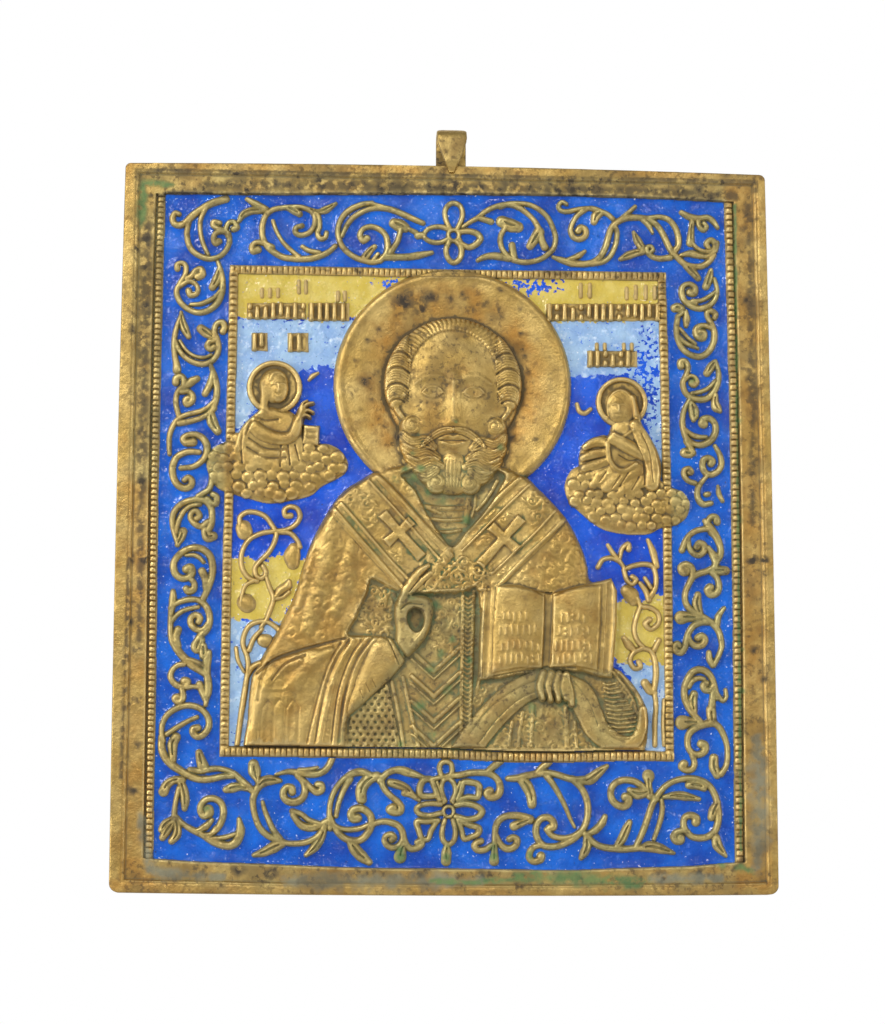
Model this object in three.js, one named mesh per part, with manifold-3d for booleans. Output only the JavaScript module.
// Cast brass icon with champleve enamel: a flat plaque with a raised outer rim,
// a beaded enamelled border of vine scrolls, a beaded centre panel with a
// half-length blessing bishop in low relief, two small half-figures on clouds,
// and a hanging loop cast on the top edge.
//
// Everything is drawn on the plaque first (u across, v up from the bottom edge,
// d forward from the flat back, in millimetres) and the whole group is then
// stood upright with the eye of the hanging loop at the origin:
// +Z up, the face towards -Y, the flat back towards +Y.
import * as THREE from "three";
import { mergeVertices } from "three/addons/utils/BufferGeometryUtils.js";
import Module from "manifold-3d";

const wasm = await Module();
wasm.setup();

// ---------------------------------------------------------------- sizes (mm)
const WIDTH = 100; // across the plaque
const HEIGHT = 112; // bottom edge to top edge, without the loop
const CORNER_R = 1.3; // filed outer corners
const BOW = 0.5; // the top edge rises this much in the middle

// depths above the flat back
const FLOOR = 1.5; // floor of the enamel recesses
const ENAMEL_GAP = 0.3; // between glass and metal
const ENAMEL_TOP = 2.4; // surface of the glass
const VINE_TOP = 2.9;
const BEAD_TOP = 3.0;
const BAND_TOP = 2.9; // flat band inside the rim
const LEDGE_TOP = 3.3; // small step between band and rim
const RIM_TOP = 4.0;

// plan of the frame: [left, right, bottom, top]
const RIM_IN = [-48.3, 48.6, 1.4, 110.8];
const LEDGE_IN = [-47.7, 48.0, 2.0, 110.2];
const BORDER = [-43.4, 43.1, 5.0, 106.8]; // outer limits of the border enamel
const PANEL_OUT = [-33.8, 33.8, 20.0, 95.3]; // outside of the inner beaded frame
const PANEL = [-32.4, 32.5, 21.7, 93.9]; // inside of the inner beaded frame
const BEAD_W = 1.1; // width of the beaded fillets
const BEAD_L = -44.15; // side fillets of the border, centre lines
const BEAD_R = 43.85;

// figure
const HALO = { u: 0.9, v: 76.2, r: 18.2, rim: 1.2, top: 3.1, dish: 2.7 };
const HEAD = { u: 0.9, v: 77.0, ru: 10.6, rv: 10.8, d: 2.6, rd: 2.2 };
const FACE = { u: 0.9, v: 75.0, ru: 7.2, rv: 10.6, d: 2.7, rd: 2.45 };
const BEARD = { u: 1.2, v: 66.6, ru: 7.6, rv: 6.6, d: 2.7, rd: 2.2 };
const TORSO_TOP = 3.7;
const BOOK = { left: 4.9, right: 25.4, bottom: 32.2, top: 46.9, spine: 15.2 };
const LOOP = {
  u: 0.65,
  w: 4.7,
  root: 112.3,
  foot: 112.8,
  top: 118.4,
  back: 0.7,
  front: 4.7,
  wall: 1.15,
  bridge: 1.7,
};
const EYE = {
  u: LOOP.u,
  v: (113.0 + LOOP.top - LOOP.bridge) / 2,
  d: (LOOP.back + LOOP.front) / 2,
};

// ------------------------------------------------------------------- helpers
// A closed geometry as a solid, with its shared vertices merged.
function solid(geometry) {
  const flat = geometry.index ? geometry.toNonIndexed() : geometry;
  const bare = mergeVertices(
    new THREE.BufferGeometry().setAttribute(
      "position",
      flat.getAttribute("position"),
    ),
    1e-4,
  );
  return new wasm.Manifold(
    new wasm.Mesh({
      numProp: 3,
      vertProperties: bare.attributes.position.array,
      triVerts: new Uint32Array(bare.index.array),
    }),
  );
}

// A finished solid as the geometry of its mesh.
function geometryOf(made) {
  const m = made.getMesh();
  const g = new THREE.BufferGeometry();
  g.setAttribute(
    "position",
    new THREE.BufferAttribute(new Float32Array(m.vertProperties), 3),
  );
  g.setIndex(new THREE.BufferAttribute(new Uint32Array(m.triVerts), 1));
  g.computeVertexNormals();
  return g;
}

const joined = (list) => list.reduce((a, b) => a.add(b));

// An outline raised from d0 to d1, with its upper edges rounded off by `soft`.
function raised(points, d0, d1, soft = 0) {
  const shape = new THREE.Shape(points);
  const g = new THREE.ExtrudeGeometry(shape, {
    depth: d1 - d0 - 2 * soft,
    bevelEnabled: soft > 0,
    bevelThickness: soft,
    bevelSize: soft,
    bevelOffset: -soft,
    bevelSegments: 1,
    steps: 1,
    curveSegments: 6,
  });
  g.translate(0, 0, d0 + soft);
  return solid(g);
}

function box([l, r, b, t], grow = 0) {
  return [
    [l - grow, b - grow],
    [r + grow, b - grow],
    [r + grow, t + grow],
    [l - grow, t + grow],
  ].map((p) => new THREE.Vector2(...p));
}

// Ring between two boxes, raised from d0 to d1.
const frameRing = (outer, inner, d0, d1) =>
  raised(box(outer), d0, d1).subtract(raised(box(inner), d0 - 1, d1 + 1));

// Closed smooth outline through a few named points, grown outwards by `grow`.
function outline(points, steps, grow = 0) {
  const curve = new THREE.CatmullRomCurve3(
    points.map(([u, v]) => new THREE.Vector3(u, v, 0)),
    true,
    "centripetal",
  );
  const line = curve.getPoints(steps).slice(0, -1);
  const area = line.reduce((s, p, i) => {
    const q = line[(i + 1) % line.length];
    return s + p.x * q.y - q.x * p.y;
  }, 0);
  const side = area > 0 ? 1 : -1;
  return line.map((p, i) => {
    const a = line[(i + line.length - 1) % line.length];
    const b = line[(i + 1) % line.length];
    const t = new THREE.Vector2(b.x - a.x, b.y - a.y).normalize();
    return new THREE.Vector2(p.x + side * t.y * grow, p.y - side * t.x * grow);
  });
}

function circle(u, v, r, n) {
  return Array.from({ length: n }, (_, i) => {
    const a = (2 * Math.PI * i) / n;
    return new THREE.Vector2(u + r * Math.cos(a), v + r * Math.sin(a));
  });
}

// Ribbon along a centre line given as a function of 0..1, `half` wide at each t.
function ribbon(centre, half, n, grow = 0) {
  const left = [],
    right = [];
  for (let i = 0; i <= n; i++) {
    const t = i / n;
    const a = centre(Math.max(0, t - 1e-3)),
      b = centre(Math.min(1, t + 1e-3));
    const dir = new THREE.Vector2(b[0] - a[0], b[1] - a[1]).normalize();
    const [u, v] = centre(t);
    const end = i === 0 ? -grow : i === n ? grow : 0;
    const w = half(t) + grow;
    left.push(
      new THREE.Vector2(
        u + dir.x * end - dir.y * w,
        v + dir.y * end + dir.x * w,
      ),
    );
    right.push(
      new THREE.Vector2(
        u + dir.x * end + dir.y * w,
        v + dir.y * end - dir.x * w,
      ),
    );
  }
  return [...right, ...left.reverse()];
}

// Flattened ball, for heads, beads and clouds.
function ball({ u, v, d, ru, rv, rd }, across = 12, down = 8) {
  const g = new THREE.SphereGeometry(1, across, down);
  g.rotateX(Math.PI / 2);
  g.scale(ru, rv, rd);
  g.translate(u, v, d);
  return solid(g);
}

const strip = (a, b, w, d0, d1, grow = 0, soft = 0) =>
  raised(
    ribbon(
      (t) => [a[0] + (b[0] - a[0]) * t, a[1] + (b[1] - a[1]) * t],
      () => w / 2,
      1,
      grow,
    ),
    d0,
    d1,
    soft,
  );

// ------------------------------------------------------- the vine in the border
// Each run of the border carries one waving stem with a curl in every bend.
const STEM_W = 1.0;
const VINE_RUNS = [
  // from, to, bends, swing to each side, radius of the curls
  { from: [-38.6, 12.5], to: [-38.6, 101.2], bends: 9, swing: 2.1, curl: 2.5 },
  { from: [38.5, 12.5], to: [38.5, 101.2], bends: 9, swing: 2.1, curl: 2.4 },
  { from: [-36, 101.1], to: [-6.2, 101.1], bends: 3, swing: 2.9, curl: 3.0 },
  { from: [36, 101.1], to: [7.8, 101.1], bends: 3, swing: 2.9, curl: 3.0 },
  { from: [-37, 12.3], to: [-7.6, 12.3], bends: 3, swing: 3.6, curl: 3.6 },
  { from: [37, 12.3], to: [8.2, 12.3], bends: 3, swing: 3.6, curl: 3.6 },
];

function vine(run, grow, d0, d1) {
  const a = new THREE.Vector2(...run.from),
    b = new THREE.Vector2(...run.to);
  const along = b.clone().sub(a);
  const dir = along.clone().normalize(),
    across = new THREE.Vector2(-dir.y, dir.x);
  const at = (t, side) => {
    const p = a
      .clone()
      .addScaledVector(along, t)
      .addScaledVector(across, side);
    return [p.x, p.y];
  };
  const stem = (t) => at(t, run.swing * Math.sin(Math.PI * run.bends * t));
  const list = [
    raised(ribbon(stem, () => STEM_W / 2, run.bends * 4, grow), d0, d1),
  ];
  for (let i = 0; i < run.bends; i++) {
    const way = i % 2 ? 1 : -1; // the curl lies in the hollow of the bend
    const [cu, cv] = at((i + 0.5) / run.bends, way * 1.3);
    const begin = Math.atan2(dir.y, dir.x);
    const curl = (t) => {
      const angle = begin + way * (0.2 + 4.4 * t);
      const r = run.curl * (1 - 0.72 * t);
      return [cu + r * Math.cos(angle), cv + r * Math.sin(angle)];
    };
    // each curl swells into a bud at its inner end
    const half = (t) => 0.45 + (t > 0.8 ? 0.35 : 0);
    list.push(raised(ribbon(curl, half, 6, grow), d0, d1));
  }
  return joined(list);
}

// Four-petalled flower between the two halves of the top and bottom borders.
const ROSETTES = [
  { u: 0.8, v: 101.2, petals: 4, length: 4.3, wide: 1.5 },
  { u: 0.2, v: 12.0, petals: 8, length: 5.6, wide: 1.35 },
];

function rosette(r, grow, d0, d1) {
  const list = [raised(circle(r.u, r.v, 1.2 + grow, 10), d0, d1)];
  for (let i = 0; i < r.petals; i++) {
    const a = (2 * Math.PI * i) / r.petals;
    const petal = (t) => [
      r.u + Math.cos(a) * (0.4 + r.length * t),
      r.v + Math.sin(a) * (0.4 + r.length * t),
    ];
    list.push(
      raised(
        ribbon(
          petal,
          (t) => 0.25 + r.wide * Math.sin(Math.PI * Math.min(1, t * 0.93)) * 0.75,
          6,
          grow,
        ),
        d0,
        d1,
      ),
    );
  }
  return joined(list);
}

// ------------------------------------------------------------ clouds and figures
const CLOUDS = [
  { u: -25.9, v: 63.5, ru: 10.6, rv: 4.9, lean: -0.04, body: -26.4, face: 75.7 },
  { u: 27.8, v: 60.2, ru: 9.5, rv: 5.0, lean: 0.05, body: 27.4, face: 75.0 },
];

function cloudOutline(c, grow) {
  const n = 16;
  return Array.from({ length: n }, (_, i) => {
    const a = (2 * Math.PI * i) / n;
    const puff = 1 - 0.04 * Math.cos(6 * a);
    const u = (c.ru * puff + grow) * Math.cos(a);
    const v = (c.rv * puff + grow) * Math.sin(a);
    return new THREE.Vector2(c.u + u - c.lean * v, c.v + v + c.lean * u);
  });
}

// Half-figure that rises out of its cloud, as one outline.
function attendantOutline(c, grow) {
  const s = c.u > 0 ? -1 : 1; // leans to the middle
  const neck = c.face - 3.2; // top of the shoulders, under the halo's centre
  return outline(
    [
      [c.body - s * 5.9, c.v + 2.0],
      [c.body - s * 4.9, neck - 3.6],
      [c.body - s * 2.2, neck - 0.4],
      [c.body + s * 2.4, neck - 0.2],
      [c.body + s * 5.6, neck - 2.6],
      [c.body + s * 6.4, c.v + 3.0],
      [c.body, c.v + 1.0],
    ],
    14,
    grow,
  );
}

function cloud(c) {
  const list = [
    raised(cloudOutline(c, 0), FLOOR - 0.5, 3.2, 0.5),
    raised(attendantOutline(c, 0), FLOOR - 0.5, 3.3, 0.4),
    raised(circle(c.body, c.face, 4.15, 16), FLOOR - 0.5, 2.9),
    ball({ u: c.body, v: c.face - 0.6, d: 2.6, ru: 2.3, rv: 3.0, rd: 1.0 }, 10, 6),
  ];
  return joined(list);
}

// ------------------------------------------------------------------ the bishop
// Robe from the left hem round the shoulders to the right hem.
const ROBE = [
  [-30.2, 21.2],
  [-29.2, 30.0],
  [-25.6, 38.5],
  [-22.4, 51.6],
  [-17.2, 58.6],
  [-8.6, 65.6],
  [0.9, 66.8],
  [10.3, 64.6],
  [17.5, 57.2],
  [21.4, 49.6],
  [24.2, 40.0],
  [29.0, 31.5],
  [30.5, 21.2],
];
const robeOutline = (grow) => outline(ROBE, 36, grow);
const bookOutline = (grow) =>
  [
    [BOOK.left - grow, BOOK.bottom - 0.4 - grow],
    [BOOK.right - 0.4 + grow, BOOK.bottom + 0.3 - grow],
    [BOOK.right + 0.5 + grow, BOOK.top + 0.6 + grow],
    [BOOK.left + 0.4 - grow, BOOK.top - 0.5 + grow],
  ].map((p) => new THREE.Vector2(...p));

function figure() {
  // halo: a shallow dish with a raised rim
  const halo = raised(
    circle(HALO.u, HALO.v, HALO.r, 36),
    FLOOR - 0.5,
    HALO.top,
  ).subtract(
    raised(
      circle(HALO.u, HALO.v, HALO.r - HALO.rim, 36),
      HALO.dish,
      HALO.top + 1,
    ),
  );
  // head, face and beard
  const head = joined([ball(HEAD, 18, 8), ball(FACE, 14, 8), ball(BEARD, 14, 8)]);
  // robe, and what is worn and held in front of it
  const robe = raised(robeOutline(0), FLOOR - 0.5, TORSO_TOP, 0.9);
  const list = [];
  // the stole: two bands that meet on the breast, and the end that hangs down
  const stole = (from, to, w) => {
    list.push(strip(from, to, w, FLOOR, TORSO_TOP + 0.35, 0, 0.3));
  };
  stole([-15.4, 58.2], [0.8, 45.8], 7.0);
  stole([16.6, 57.2], [-1.6, 45.6], 7.0);
  stole([-0.6, 47.0], [-0.6, 21.4], 6.6);
  // a cross on each shoulder of the stole, turned with the band
  [
    [-8.9, 54.2, -0.66],
    [8.6, 53.2, 0.6],
  ].forEach(([u, v, turn]) => {
    for (const [len, w, a] of [
      [7.2, 1.5, turn + Math.PI / 2],
      [5.2, 1.5, turn],
    ]) {
      const c = Math.cos(a) * (len / 2),
        s = Math.sin(a) * (len / 2);
      list.push(
        strip([u - c, v - s], [u + c, v + s], w, FLOOR, TORSO_TOP + 0.75),
      );
    }
  });
  // blessing arm: sleeve, wrist, palm and two raised fingers
  const sleeve = (t) => [-27.0 + 14.6 * t, 31.2 + 4.6 * Math.sin(1.4 * t)];
  list.push(
    raised(ribbon(sleeve, (t) => 4.4 - 0.6 * t, 4), FLOOR, TORSO_TOP + 0.5, 0.6),
  );
  list.push(strip([-16.4, 28.0], [-6.6, 37.2], 4.6, FLOOR, TORSO_TOP + 0.4, 0, 0.4));
  list.push(ball({ u: -5.2, v: 40.2, d: 3.3, ru: 2.7, rv: 4.2, rd: 1.4 }, 10, 6));
  for (const [u, v] of [
    [-0.9, 49.2],
    [-2.6, 44.6],
  ])
    list.push(strip([-5.2, 41.6], [u, v], 1.5, FLOOR, TORSO_TOP + 0.7, 0, 0.3));
  // the open book and its spine groove
  const leaves = raised(bookOutline(0), FLOOR - 0.5, 4.5, 0.35);
  const groove = strip(
    [BOOK.spine, BOOK.bottom - 2],
    [BOOK.spine, BOOK.top + 2],
    1.0,
    4.0,
    6,
  );
  list.push(leaves.subtract(groove));
  // the cloth end that carries the book, looped over the covered hand
  const cloth = (t) => [
    3.6 + 23.6 * t,
    22.6 + 9.4 * Math.sin(Math.PI * Math.min(1, t * 1.16)) ** 0.8,
  ];
  list.push(
    raised(ribbon(cloth, (t) => 1.5 + 0.9 * t, 10), FLOOR, TORSO_TOP + 0.45, 0.3),
  );
  list.push(ball({ u: 17.2, v: 30.4, d: 3.4, ru: 3.3, rv: 2.4, rd: 1.3 }, 10, 6));
  // nothing hangs over the outline of the robe and the book, and the hem is
  // cut off along the beaded frame of the panel
  const within = raised(robeOutline(0), 0, 20).add(
    raised(bookOutline(0), 0, 20),
  );
  const [l, r, b] = PANEL;
  return joined([halo, head, robe, joined(list).intersect(within)]).intersect(
    raised(box([l - 1, r + 1, b - 0.4, HEIGHT]), 0, 20),
  );
}

// ---------------------------------------------------------------- hanging loop
// A strap that comes up at the back, over the top and down in front to a point;
// the cord passes sideways through the eye between the two legs. It is parted
// from the plaque at the neck of its legs.
function hangingLoop() {
  const l = LOOP.u - LOOP.w / 2,
    r = LOOP.u + LOOP.w / 2;
  const v = (a) => a.map((p) => new THREE.Vector2(...p));
  const foot = LOOP.foot;
  const rear = raised(
    v([
      [l, foot],
      [r + 0.2, foot],
      [r, LOOP.top - 0.3],
      [LOOP.u, LOOP.top],
      [l, LOOP.top - 0.3],
    ]),
    LOOP.back,
    LOOP.back + LOOP.wall,
  );
  const bridge = raised(
    v([
      [l, LOOP.top - LOOP.bridge],
      [r, LOOP.top - LOOP.bridge],
      [r, LOOP.top - 0.3],
      [LOOP.u, LOOP.top],
      [l, LOOP.top - 0.3],
    ]),
    LOOP.back,
    LOOP.front,
  );
  const front = raised(
    v([
      [LOOP.u - 0.65, foot],
      [LOOP.u + 0.65, foot],
      [LOOP.u + 0.65, foot + 0.4],
      [r, LOOP.top - LOOP.bridge],
      [r, LOOP.top - LOOP.bridge + 0.4],
      [l, LOOP.top - LOOP.bridge + 0.4],
      [l, LOOP.top - LOOP.bridge],
      [LOOP.u - 0.65, foot + 0.4],
    ]),
    LOOP.front - LOOP.wall,
    LOOP.front,
  );
  return joined([rear, bridge, front]);
}

// The front leg runs down on to the rim.
const loopRoot = () =>
  strip(
    [LOOP.u, LOOP.root - 1.4],
    [LOOP.u, LOOP.root],
    1.3,
    RIM_TOP - 0.6,
    LOOP.front,
  );

// -------------------------------------------------------------------- plaque
function plaqueOutline() {
  const pts = [];
  const corner = (cu, cv, a0) => {
    for (let i = 0; i <= 3; i++) {
      const a = a0 + (Math.PI / 2) * (i / 3);
      pts.push([cu + CORNER_R * Math.cos(a), cv + CORNER_R * Math.sin(a)]);
    }
  };
  const w = WIDTH / 2 - CORNER_R;
  corner(-w, CORNER_R, Math.PI);
  corner(w, CORNER_R, -Math.PI / 2);
  corner(w, HEIGHT - CORNER_R, 0);
  for (let i = 1; i < 6; i++) {
    const u = w - (2 * w * i) / 6;
    pts.push([u, HEIGHT + BOW * (1 - (u / w) ** 2)]);
  }
  corner(-w, HEIGHT - CORNER_R, Math.PI / 2);
  return pts.map((p) => new THREE.Vector2(...p));
}

function castIcon(vines) {
  const slab = raised(plaqueOutline(), 0, RIM_TOP, 0.25);
  const cut = (b, d) => raised(box(b), d, RIM_TOP + 2);
  let body = slab
    .subtract(cut(RIM_IN, LEDGE_TOP))
    .subtract(cut(LEDGE_IN, BAND_TOP));
  // the enamel recesses
  body = body.subtract(
    frameRing(BORDER, PANEL_OUT, FLOOR, RIM_TOP + 2),
  );
  body = body.subtract(cut(PANEL, FLOOR));
  const fillets = [
    strip([BEAD_L, BORDER[2]], [BEAD_L, BORDER[3]], BEAD_W, FLOOR, BEAD_TOP + 0.2, 0, 0.25),
    strip([BEAD_R, BORDER[2]], [BEAD_R, BORDER[3]], BEAD_W, FLOOR, BEAD_TOP + 0.2, 0, 0.25),
  ];
  return joined([
    body,
    ...fillets,
    vines,
    figure(),
    ...CLOUDS.map(cloud),
    loopRoot(),
  ]);
}

// ---------------------------------------------------------------- enamel fields
const g = ENAMEL_GAP;
const GLASS_BOTTOM = FLOOR + g;

function borderEnamel(fatVines) {
  const [l, r, b, t] = BORDER;
  const [pl, pr, pb, pt] = PANEL_OUT;
  let glass = frameRing(
    [l + g, r - g, b + g, t - g],
    [pl - g, pr + g, pb - g, pt + g],
    GLASS_BOTTOM,
    ENAMEL_TOP,
  );
  glass = glass.subtract(fatVines);
  // the side fillets stand a little inside the recess
  for (const u of [BEAD_L, BEAD_R])
    glass = glass.subtract(
      strip([u, b - 2], [u, t + 2], BEAD_W + 2 * g, FLOOR - 1, ENAMEL_TOP + 1),
    );
  for (const c of CLOUDS)
    glass = glass.subtract(
      raised(cloudOutline(c, g), FLOOR - 1, ENAMEL_TOP + 1),
    );
  // glass cut off inside a curl of the vine is left out: the field is one body
  return glass.decompose().sort((p, q) => q.volume() - p.volume())[0];
}

// The ground on one side of the figure (-1 left, +1 right).
function groundEnamel(side) {
  const [l, r, b, t] = PANEL;
  const half =
    side < 0 ? [l + g, HALO.u, b + g, t - g] : [HALO.u, r - g, b + g, t - g];
  const through = (pts) => raised(pts, FLOOR - 1, ENAMEL_TOP + 1);
  let glass = raised(box(half), GLASS_BOTTOM, ENAMEL_TOP)
    .subtract(through(circle(HALO.u, HALO.v, HALO.r + g, 36)))
    .subtract(through(robeOutline(g)))
    .subtract(through(bookOutline(g)));
  for (const c of CLOUDS) {
    if (Math.sign(c.u) !== side) continue;
    glass = glass
      .subtract(through(cloudOutline(c, g)))
      .subtract(through(attendantOutline(c, g)))
      .subtract(through(circle(c.body, c.face, 4.15 + g, 16)));
  }
  return glass.decompose().sort((p, q) => q.volume() - p.volume())[0];
}

// ------------------------------------------------------------------- assembly
const everyVine = (grow, d0, d1) =>
  joined([
    ...VINE_RUNS.map((run) => vine(run, grow, d0, d1)),
    ...ROSETTES.map((r) => rosette(r, grow, d0, d1)),
  ]);

const BRASS = new THREE.MeshStandardMaterial({
  color: 0xa9813f,
  metalness: 0.9,
  roughness: 0.42,
});
const BLUE = new THREE.MeshStandardMaterial({
  color: 0x1f4fd0,
  metalness: 0,
  roughness: 0.18,
});
const GROUND = new THREE.MeshStandardMaterial({
  color: 0x2a5bd4,
  metalness: 0,
  roughness: 0.2,
});

function piece(name, made, material) {
  const mesh = new THREE.Mesh(geometryOf(made), material);
  mesh.name = name;
  return mesh;
}

const plaque = new THREE.Group();
plaque.add(
  piece("cast_icon", castIcon(everyVine(0, FLOOR - 0.5, VINE_TOP)), BRASS),
  piece("hanging_loop", hangingLoop(), BRASS),
  piece(
    "border_enamel",
    borderEnamel(everyVine(g, FLOOR - 1, VINE_TOP + 1)),
    BLUE,
  ),
  piece("left_ground_enamel", groundEnamel(-1), GROUND),
  piece("right_ground_enamel", groundEnamel(1), GROUND),
);
plaque.position.set(-EYE.u, -EYE.v, -EYE.d);

const icon = new THREE.Group();
const upright = new THREE.Group();
upright.add(plaque);
upright.rotation.x = Math.PI / 2; // plaque up becomes +Z, its face looks to -Y
icon.add(upright);
icon.updateMatrixWorld(true);

export default icon;
